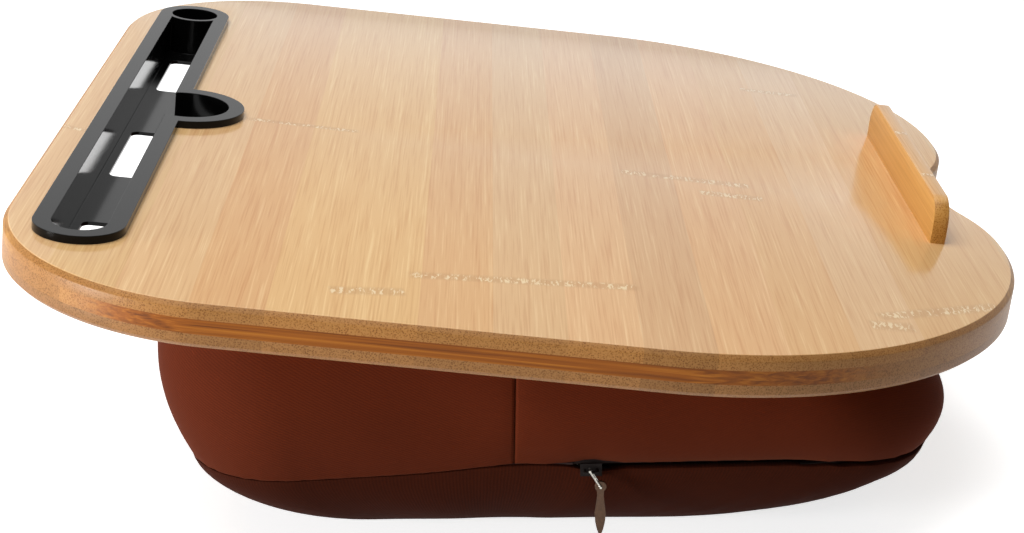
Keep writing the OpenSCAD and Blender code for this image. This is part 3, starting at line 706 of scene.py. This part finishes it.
def dense_ring(half, rear, front, rear_r, front_r):
    """A rounded rectangle from the left rear corner round the front, as x, y and outward x, y.

    Its eight parts are four quarter circles and four straight lines, one after the other.
    """
    share = np.linspace(0, 1, PART_STEPS, endpoint=False)[:, None]

    def corner(x, y, r, start):
        turn = np.radians(start + 90 * share)
        out = np.concatenate([np.cos(turn), np.sin(turn)], 1)
        return np.concatenate([np.array([x, y]) + r * out, out], 1)

    def side(start, end, out):
        run = np.array(start) + (np.array(end) - np.array(start)) * share
        return np.concatenate([run, np.broadcast_to(out, run.shape)], 1)

    return np.concatenate(
        [
            corner(-half + rear_r, rear - rear_r, rear_r, 90),
            side((-half, rear - rear_r), (-half, front + front_r), (-1.0, 0.0)),
            corner(-half + front_r, front + front_r, front_r, 180),
            side((-half + front_r, front), (half - front_r, front), (0.0, -1.0)),
            corner(half - front_r, front + front_r, front_r, 270),
            side((half, front + front_r), (half, rear - rear_r), (1.0, 0.0)),
            corner(half - rear_r, rear - rear_r, rear_r, 0),
            side((half - rear_r, rear), (-half + rear_r, rear), (0.0, 1.0)),
        ]
    )


upper_ring = dense_ring(HALF, REAR_Y, FRONT_Y, CORNER_REAR, CORNER_FRONT)
lower_ring = dense_ring(SEAM_HALF, SEAM_REAR_Y, SEAM_FRONT_Y, CORNER_REAR, CORNER_FRONT)
# Parts 2 and 4 are the two front corners. The push out is the square of a sine over each.
push = CORNER_PUSH * np.sin(np.linspace(0, pi, PART_STEPS, endpoint=False))[:, None] ** 2
for part in (2, 4):
    corner = slice(part * PART_STEPS, (part + 1) * PART_STEPS)
    lower_ring[corner, :2] += push * lower_ring[corner, 2:]
foot_ring = dense_ring(
    SEAM_HALF - FOOT[0],
    SEAM_REAR_Y - FOOT[1],
    SEAM_FRONT_Y + FOOT[2],
    CORNER_REAR * FOOT_SHRINK,
    CORNER_FRONT * FOOT_SHRINK,
)
ring_steps = np.hypot(*(np.roll(lower_ring, -1, 0) - lower_ring)[:, :2].T)
WAY = np.concatenate([[0.0], np.cumsum(ring_steps)])
AROUND = WAY[-1]


def on_ring(ring, way):
    """A ring's values at lengths along the lower seam, counted from the left rear corner."""
    closed = np.concatenate([ring, ring[:1]])
    return np.stack([np.interp(np.mod(way, AROUND), WAY, closed[:, k]) for k in range(4)], -1)


def way_at(part, share):
    """The length along the seam at a share of one of the ring's eight parts."""
    return float(np.interp((part + share) * PART_STEPS, np.arange(len(WAY)), WAY))


NEAR_SEAM = way_at(1, SEAM_SHARE)
ZIP_START = way_at(1, ZIP_SHARE)
ZIP_END = way_at(4, 0.0)
FAR_SEAM = way_at(5, 1 - SEAM_SHARE)


def pad_top(y):
    """Height of the top panel's flat: a plane parallel to the board, a gap under it."""
    return REAR_HEIGHT + (y - DECK_Y) * tan(TILT) - (3 * PLY + PAD_GAP) / cos(TILT)


# How far the cloth takes the lower seam off its straight line: ring part, share and lift in mm.
SEAM_LIFTS = [
    (0, 0.0, -5.0),
    (0, 0.6, -3.6),
    (1, 0.0, -2.9),
    (1, 0.28, -1.0),
    (1, 0.42, 1.6),
    (1, 0.5, 1.5),
    (1, 0.56, 0.5),
    (1, 0.64, 0.0),
    (2, 0.05, 0.0),
    (2, 0.5, -3.0),
    (3, 0.0, -3.0),
    (3, 0.5, -1.0),
    (4, 0.0, -2.5),
    (5, 0.0, -0.8),
    (5, 1.0, -2.9),
    (7, 0.0, -5.0),
    (7, 0.5, -4.0),
    (7, 1.0, -5.0),
]
LIFT_WAYS = [way_at(part, share) for part, share, lift in SEAM_LIFTS]
LIFTS = [lift for part, share, lift in SEAM_LIFTS]
LIFT_BLUR = np.linspace(-12, 12, 9)


def seam_height(y, way):
    """Height of the lower seam over the floor: a straight slope, and the lifts joined by straight
    lines that are averaged over 24 mm."""
    slope = (SEAM_H_REAR - SEAM_H_FRONT) / (SEAM_REAR_Y - SEAM_FRONT_Y)
    near = np.mod(way[..., None] + LIFT_BLUR, AROUND)
    lift = np.interp(near, LIFT_WAYS, LIFTS).mean(-1)
    return SEAM_H_FRONT + slope * (y - SEAM_FRONT_Y) + lift


def ripple(way, height, seed, length, count=5):
    """A wave round the cushion: the sum of a few sines with whole numbers of turns, about height
    high and about length long, whose turns and phases are drawn from the seed."""
    draw = np.random.default_rng(seed)
    waves = np.maximum(1, np.round(AROUND / length * draw.uniform(0.6, 1.7, count)))
    phases = draw.uniform(0, 2 * pi, count)
    total = sum(np.sin(2 * pi * w * way / AROUND + p) for w, p in zip(waves, phases))
    return height * (total / count**0.5 / 1.5)


def half_gap(way):
    """Half the gap between the panels' rolled edges: closed where sewn, open along the zip with a
    smooth step at either end, and wider by a bell curve round the slider."""
    opened = np.clip((way - ZIP_START) / ZIP_OPENS_OVER, 0, 1)
    opened = opened * np.clip((ZIP_END - way) / ZIP_CLOSES_OVER, 0, 1)
    opened = opened * opened * (3 - 2 * opened)
    wave = 1 + np.abs(ripple(way, *GAP_WAVE))
    from_slider = way - ZIP_START - SLIDER_FROM_START
    room = SLIDER_ROOM * np.exp(-((from_slider / SLIDER_ROOM_REACH) ** 2))
    return SEWN_GAP / 2 + (ZIP_GAP * wave - SEWN_GAP) / 2 * opened + room


def seam_depth(way):
    """How much of the full roll the lower seam has: a smooth step from soft at the rear to full
    along the sides, and back."""
    share = np.clip((way - way_at(1, 0.1)) / SOFT_RUN, 0, 1)
    share = share * np.clip((AROUND - 60 - way) / SOFT_RUN, 0, 1)
    return SOFT_ROLL + (1 - SOFT_ROLL) * share * share * (3 - 2 * share)


def leaned(way, share):
    """The way along the ring, shifted by a bell curve round each upright seam, so that its lower
    end lies a little to the rear of its upper end."""
    lean = SEAM_LEAN * share
    near = lean * np.exp(-(((way - NEAR_SEAM) / LEAN_REACH) ** 2))
    far = lean * np.exp(-(((way - FAR_SEAM) / LEAN_REACH) ** 2))
    return way - near + far


# Distances from a seam at each 15 degrees of the roll's quarter circle.
ROLL_STEPS = ROLL * (1 - np.cos(np.radians([0, 15, 30, 45, 60, 75, 90])))


def rolled(distance):
    """How deep a panel's edge has rolled in at a distance from its seam: a quarter circle."""
    short = np.clip(ROLL - distance, 0, ROLL)
    return ROLL - np.sqrt(np.maximum(ROLL**2 - short**2, 0))


def edge_steps(length, step):
    """Distances from one rolled edge to the other: fine on the rolls and even between them."""
    count = max(2, int((length - 2 * ROLL) / step))
    middle = np.linspace(ROLL, length - ROLL, count + 1)[1:-1]
    return np.concatenate([ROLL_STEPS, middle, (length - ROLL_STEPS)[::-1]])


def placed(x, y, z, out, depth):
    """Points moved in by depth along the horizontal outward direction."""
    return np.stack([x - depth * out[..., 0], y - depth * out[..., 1], z], -1)


def cloth_piece(name, grid, along, down, material, closed, poles=(False, False)):
    """A panel of cloth over a grid in mm, given its thickness inwards.

    Its UV map holds the lengths along and down the panel, so the threads follow it.
    """
    mesh = grid_mesh(name, grid * MM, closed_cols=closed, poles=poles)
    layer = mesh.uv_layers.new(name="threads")
    cols = grid.shape[1]
    corner = np.empty(len(mesh.loops), int)
    mesh.loops.foreach_get("vertex_index", corner)
    sizes = np.empty(len(mesh.polygons), int)
    mesh.polygons.foreach_get("loop_total", sizes)
    poly = np.repeat(np.arange(len(sizes)), sizes)
    column, row = corner % cols, np.minimum(corner // cols, grid.shape[0] - 1)
    u, v = along[column], down[row]
    if closed:
        # The faces that close the ring end a whole turn later than they start.
        start = np.full(len(mesh.polygons), len(along))
        np.minimum.at(start, poly, column)
        end = np.zeros(len(mesh.polygons), int)
        np.maximum.at(end, poly, column)
        wraps = (end - start)[poly] > cols // 2
        u = np.where(wraps & (column < cols // 2), u + AROUND, u)
    layer.data.foreach_set("uv", np.stack([u * MM, v * MM], -1).ravel())
    merge_doubles(mesh)
    piece = finished_piece(name, mesh, material, sharp=70.0, recalculate=False)
    thickness = piece.modifiers.new("cloth_thickness", "SOLIDIFY")
    thickness.thickness = CLOTH_T * MM
    thickness.offset = -1.0
    return piece


def boxing_points(way, share, depth):
    """The boxing's face: a straight line from the upper to the lower seam, moved in and out.

    A parabola and the waves push it out. What falls off from the upright seams, and a bell curve
    over the slider's track, draw it in. depth takes its rolled and turned edges in further.
    """
    shifted = leaned(way, share)
    upper, lower = on_ring(upper_ring, shifted), on_ring(lower_ring, shifted)
    flat = upper[:, :2] + (lower - upper)[:, :2] * share
    soft = ripple(way, *SIDE_WAVE) * np.sin(pi * share) ** 2
    pucker = ripple(way, *LOWER_PUCKER) * np.exp(-((1 - share) ** 2) / PUCKER_SPREAD)
    pucker = pucker + ripple(way, *UPPER_PUCKER) * np.exp(-(share**2) / PUCKER_SPREAD)
    hollow = 0.0
    for seam in (NEAR_SEAM, FAR_SEAM):
        away = np.abs(way - seam)
        hollow = hollow + SEAM_HOLLOW * np.exp(-away / SEAM_HOLLOW_REACH)
        stitches = np.sin(share * STITCH_RADIANS + seam)
        hollow = hollow + STITCH_HOLLOW * np.exp(-away / STITCH_HOLLOW_REACH) * stitches
    # The track starts and ends in ramps of 4 and 6 mm.
    from_zip = way - ZIP_START
    track = np.clip((from_zip - TRACK_STARTS) / 4, 0, 1)
    track = track * np.clip((TRACK_ENDS - from_zip) / 6, 0, 1)
    hollow = hollow + TRACK_HOLLOW * np.exp(-(((1 - share) / TRACK_SHARE) ** 2)) * track
    bulge = SIDE_BULGE * 4 * share * (1 - share) + soft + pucker - hollow
    top = pad_top(upper[:, 1]) - TOP_DROP - SEWN_GAP / 2
    low = seam_height(lower[:, 1], shifted) + half_gap(np.mod(shifted, AROUND))
    z = top + (low - top) * share
    return placed(flat[:, 0], flat[:, 1], z, lower[:, 2:], depth - bulge)


def boxing_panel(name, start, end, material):
    """One length of the boxing: rows from seam to seam, with its four edges rolled in and turned
    under. Where a row and a column both roll, the deeper of the two counts."""
    columns = start + edge_steps(end - start, STEP)
    column_depth = rolled(np.minimum(columns - start, end - columns))
    row_way = edge_steps(PANEL_H, STEP)
    row_depth = rolled(np.minimum(row_way, PANEL_H - row_way))
    soft = seam_depth(np.mod(columns, AROUND))
    under = np.full(len(columns), TURN_IN)
    rows = [boxing_points(columns, 0.0, under)]
    for away, sunk in zip(row_way, row_depth):
        sunk = sunk * (soft if away > PANEL_H / 2 else 1.0)
        rows.append(boxing_points(columns, away / PANEL_H, np.maximum(sunk, column_depth)))
    rows.append(boxing_points(columns, 1.0, under))
    shares = np.concatenate([[0.0], row_way / PANEL_H, [1.0]])
    first = [boxing_points(columns[:1], share, under[:1]) for share in shares]
    last = [boxing_points(columns[-1:], share, under[:1]) for share in shares]
    grid = np.concatenate([np.stack(first), np.stack(rows), np.stack(last)], 1)
    along = np.concatenate([[start - TURN_IN], columns, [end + TURN_IN]])
    down = np.concatenate([[-TURN_IN], row_way, [PANEL_H + TURN_IN]])
    return cloth_piece(name, grid, along, down, material, closed=False)


def base_points(way, share, depth):
    """The base panel's side, from the lower seam down and in to the floor.

    Over a quarter turn, the share of the way in is 1 less a power of the cosine, and the share of
    the seam's height is 1 less the same power of the sine. The waves fade towards the floor.
    """
    lower, foot = on_ring(lower_ring, way), on_ring(foot_ring, way)
    turn = pi / 2 * share
    inward = 1 - cos(turn) ** FOOT_POWER
    top = seam_height(lower[:, 1], way) - half_gap(way)
    flat = lower[:, :2] + (foot - lower)[:, :2] * inward
    z = top * (1 - sin(turn) ** FOOT_POWER)
    pucker = ripple(way, *BASE_PUCKER) * np.exp(-share * 9)
    soft = ripple(way, *BASE_WAVE) * np.sin(pi * share) ** 2
    corner = 0.0
    for middle in (way_at(2, 0.45), way_at(4, 0.55)):
        corner = corner + np.exp(-(((way - middle) / CORNER_WAVE_REACH) ** 2))
    soft = soft + ripple(way, *CORNER_WAVE) * corner * np.sin(pi * share) ** 2
    return placed(flat[:, 0], flat[:, 1], z, lower[:, 2:], depth - (pucker + soft) * cos(turn))


def base_panel(name, material):
    """The base: its upper edge turned under and rolled, its side curved down to the floor, and
    its flat shrunk in rings to the middle."""
    columns = np.arange(0.0, AROUND, STEP)
    away = np.concatenate([ROLL_STEPS, np.arange(4.0, PANEL_H, STEP), [PANEL_H]])
    soft = seam_depth(columns)
    rows = [base_points(columns, 0.0, np.full(len(columns), TURN_IN))]
    rows += [base_points(columns, d / PANEL_H, soft * rolled(d)) for d in away]
    edge = rows[-1]
    middle = edge.mean(0)
    inner = [0.85, 0.65, 0.4, 0.15]
    rows += [middle + (edge - middle) * k for k in inner]
    down = np.concatenate([[-TURN_IN], away, PANEL_H + BASE_MIDDLE * (1 - np.array(inner))])
    grid = np.stack(rows)
    return cloth_piece(name, grid, columns, down, material, closed=True, poles=(False, True))


def top_panel(name, material):
    """The top: its edge turned under the upper seam and rolled up, a quarter ellipse up and in,
    and its flat under the board shrunk in rings to the middle."""
    columns = np.arange(0.0, AROUND, STEP)
    upper = on_ring(upper_ring, columns)
    out = upper[:, 2:]
    seam = pad_top(upper[:, 1]) - TOP_DROP + SEWN_GAP / 2
    rows = [placed(upper[:, 0], upper[:, 1], seam, out, TURN_IN)]
    rows += [placed(upper[:, 0], upper[:, 1], seam + d, out, rolled(d)) for d in TOP_LIP]
    down = [-TURN_IN, *TOP_LIP]
    for turn in np.radians(np.linspace(10, 90, 9)):
        inward = TOP_ROLL * (1 - cos(turn))
        x, y = upper[:, 0] - out[:, 0] * inward, upper[:, 1] - out[:, 1] * inward
        lift = (TOP_DROP - TOP_LIP[-1]) * sin(turn)
        rows.append(np.stack([x, y, pad_top(y) - TOP_DROP + TOP_LIP[-1] + lift], -1))
        down.append(1.0 + inward)
    edge = rows[-1]
    middle = edge.mean(0)
    inner = [0.8, 0.5, 0.2]
    rows += [middle + (edge - middle) * k for k in inner]
    down += [TOP_ROLL + TOP_MIDDLE * (1 - k) for k in inner]
    # The grid runs from the middle out, so that its faces point up.
    grid, down = np.stack(rows)[::-1], np.array(down)[::-1]
    return cloth_piece(name, grid, columns, down, material, closed=True, poles=(True, False))


def woven_cloth(name, dark, light, slant, spacing, sheen):
    """Tight cotton cloth: ribs at a slant (twill) or upright, uneven threads and a soft bloom.

    The ribs are a sine of the length along the panel, less slant times the length down it. The
    real threads are about 0.4 mm apart, and the ribs are drawn coarser, spacing mm, to show.
    """
    material, tree = empty_material(name)
    put = partial(add_node, tree)
    along, down, _ = put("SeparateXYZ", {0: put("UVMap", uv_map="threads")}).outputs
    place = put("TexCoord").outputs["Object"]
    slanted = put("Math", {0: down, 1: -slant, 2: along}, operation="MULTIPLY_ADD")
    waver = put("TexNoise", {"Vector": place, "Scale": 1 / (8.0 * MM)})
    slanted = put("Math", {0: waver, 1: 0.6 * spacing * MM, 2: slanted}, operation="MULTIPLY_ADD")
    turn = 2 * pi / (spacing * MM * (1 + slant**2) ** 0.5)
    rib = put("Math", {0: slanted, 1: turn}, operation="MULTIPLY")
    rib = put("Math", {0: rib}, operation="SINE")
    cross = put("Math", {0: down, 1: 2 * pi / (0.7 * spacing * MM)}, operation="MULTIPLY")
    cross = put("Math", {0: cross}, operation="SINE")
    weave = put("MapRange", {"Value": put("Mix", {0: 0.25, 2: rib, 3: cross}), "From Min": -1.0})
    fleck = put("TexNoise", {"Vector": place, "Scale": 1 / (0.6 * MM), "Roughness": 0.7})
    share = put("Mix", {0: 0.45, 2: weave, 3: fleck})
    share = put("MapRange", {"Value": share, "From Min": 0.15, "From Max": 0.85})
    colour = put("Mix", {0: share, 6: linear(dark), 7: linear(light)}, data_type="RGBA")
    # Handling leaves the cloth a little lighter and darker in patches of about 70 mm.
    patch = put("TexNoise", {"Vector": place, "Scale": 1 / (70.0 * MM), "Detail": 3.0})
    shades = {"From Min": 0.3, "From Max": 0.7, "To Min": 0.9, "To Max": 1.08}
    tone = put("MapRange", {"Value": patch, **shades})
    colour = put("HueSaturation", {"Color": colour, "Value": tone})
    bump = put("Bump", {"Strength": 0.35, "Distance": 0.12 * MM, "Height": share})
    bloom = {"Sheen Weight": sheen, "Sheen Roughness": 0.45, "Sheen Tint": linear("c98a68")}
    matt = {"Roughness": 0.88, "IOR": 1.45, "Specular IOR Level": 0.08}
    surface = put("BsdfPrincipled", {"Base Color": colour, "Normal": bump, **matt, **bloom})
    put("OutputMaterial", {"Surface": surface})
    return material


# Piece-dyed twill: rust brown and matt, with fine slanting ribs.
rust_twill = woven_cloth("rust_cotton_twill", "421607", "521f0a", 1.7, 1.1, 0.04)
# The base is a stiffer cloth with upright ribs. Its darker colour is painted shade, since it faces
# down.
ribbed_base_painted_shade = woven_cloth("ribbed_cotton_painted_shade", "2a0c03", "361204", 0.0, 1.2, 0.0)

rear_boxing = boxing_panel("cover_boxing_rear", FAR_SEAM - AROUND, NEAR_SEAM, rust_twill)
front_boxing = boxing_panel("cover_boxing_front", NEAR_SEAM, FAR_SEAM, rust_twill)
cover_top = top_panel("cover_top", rust_twill)
cover_base = base_panel("cover_base", ribbed_base_painted_shade)
for piece, node, slot in (
    (rear_boxing, "cover_rear_boxing", "cover_fabric"),
    (front_boxing, "cover_front_boxing", "cover_fabric"),
    (cover_top, "cover_top_panel", "cover_fabric"),
    (cover_base, "cover_bottom_panel", "base_fabric"),
):
    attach(piece, "desk")
    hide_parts(node)

# ---- Inside the cover ------------------------------------
# The inner case with its fibre filling, and the hook and loop strips under the board, which keep
# the solids' shapes. The panels' cut edges are folded in together behind the sewn seam.


def refinished(finish, *nodes):
    """Gives carried-over CAD nodes a finish."""
    for node in nodes:
        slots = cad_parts[node].data.materials
        slots.clear()
        slots.append(finish)


# Thin cotton lining of the inner case. Its dark brown is painted shade for the gap between the
# zip's edges: dark and dull, so that nothing shines there.
lining = plain_finish("cotton_lining_painted_shade", "24130d", 0.9, grain=1.4, depth=0.1, specular=0.1)
# Carded polyester: white and fluffy.
fibre = plain_finish("polyester_fibre", "e6e6e2", 0.9, grain=3.3, depth=0.3)
# The twill's cut edge, coloured darker than the twill as painted shade, since it lies in the shade
# of the seam.
seam_allowance_painted_shade = plain_finish("folded_cotton_edge_painted_shade", "2a100a", 0.9, grain=1.2, depth=0.1)
# Nylon hook and loop tape: black and rough.
hook_nylon = plain_finish("black_nylon_hook_and_loop", "101012", 0.8, grain=1.1, depth=0.2)
refinished(lining, "inner_case_upper", "inner_case_lower")
refinished(fibre, "fibre_filling")
refinished(hook_nylon, "hook_strips", "loop_strips")

# The folded edges are a wedge section along the lower seam, from the zip's end round to its start.
FOLD_FROM = 1.6
FOLD_TO = 9.0
FOLD_TIP = 0.3
FOLD_BACK = 0.8
fold_way = np.linspace(ZIP_END, AROUND + ZIP_START, 200)
fold_ring = on_ring(lower_ring, fold_way)
fold_z = seam_height(fold_ring[:, 1], np.mod(fold_way, AROUND))
fold_tip = [(FOLD_FROM, -FOLD_TIP), (FOLD_FROM, FOLD_TIP)]
fold_back = [(FOLD_TO, FOLD_BACK), (FOLD_TO, -FOLD_BACK)]
fold_loops = [
    placed(fold_ring[:, 0], fold_ring[:, 1], fold_z + up, fold_ring[:, 2:], depth)
    for depth, up in fold_tip + fold_back
]
fold_mesh = grid_mesh("folded_seam_edges", np.stack(fold_loops, 1) * MM, poles=(True, True))
folded_edges = finished_piece("folded_seam_edges", fold_mesh, seam_allowance_painted_shade)
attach(folded_edges, "desk")
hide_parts("cover_seam_allowance")

# ---- Zip -------------------------------------------------
# A nylon coil zip on dark twill tape with steel end stops. Its slider is enamelled zinc, a wire
# link hangs over the slider's bridge, and a leaf-shaped pull with a raised middle hangs on it.

# Woven zip tape: near-black brown and dull.
tape = plain_finish("dark_twill_tape", "160905", 0.9, grain=1.1, depth=0.08, specular=0.2)
# Nylon coil: a shade darker, with a faint gloss on its turns.
coil = plain_finish("brown_nylon_coil", "120704", 0.45, grain=0.7, depth=0.2, specular=0.3)
refinished(tape, "zip_tape_upper", "zip_tape_lower")
refinished(coil, "zip_coil_upper", "zip_coil_lower")
refinished(zinc_steel, "zip_end_stops")

# Zinc casting under dark enamel: dull, with soft corners.
enamel = plain_finish("dark_enamelled_zinc", "0e0604", 0.7, grain=0.7, depth=0.01, specular=0.15)
# Nickel-plated wire: bright, with sharp highlights.
nickel = plain_finish("nickel_plated_wire", "b9b6ae", 0.25, grain=1.1, depth=0.005, metallic=1.0)
# Bronze-lacquered zinc: brown, with a soft metal sheen.
bronze = plain_finish("lacquered_bronze_pull", "523b2a", 0.32, grain=0.8, depth=0.01, metallic=0.6)
slider = dressed_copy("zip_slider", "zip_slider_body", enamel, 0.35, segments=3)
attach(slider, "slider")
link = dressed_copy("zip_link", "zip_wire_link", nickel, 0.08)
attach(link, "link")
pull = dressed_copy("zip_pull", "zip_leaf_pull", bronze, 0.3, segments=3)
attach(pull, "pull")
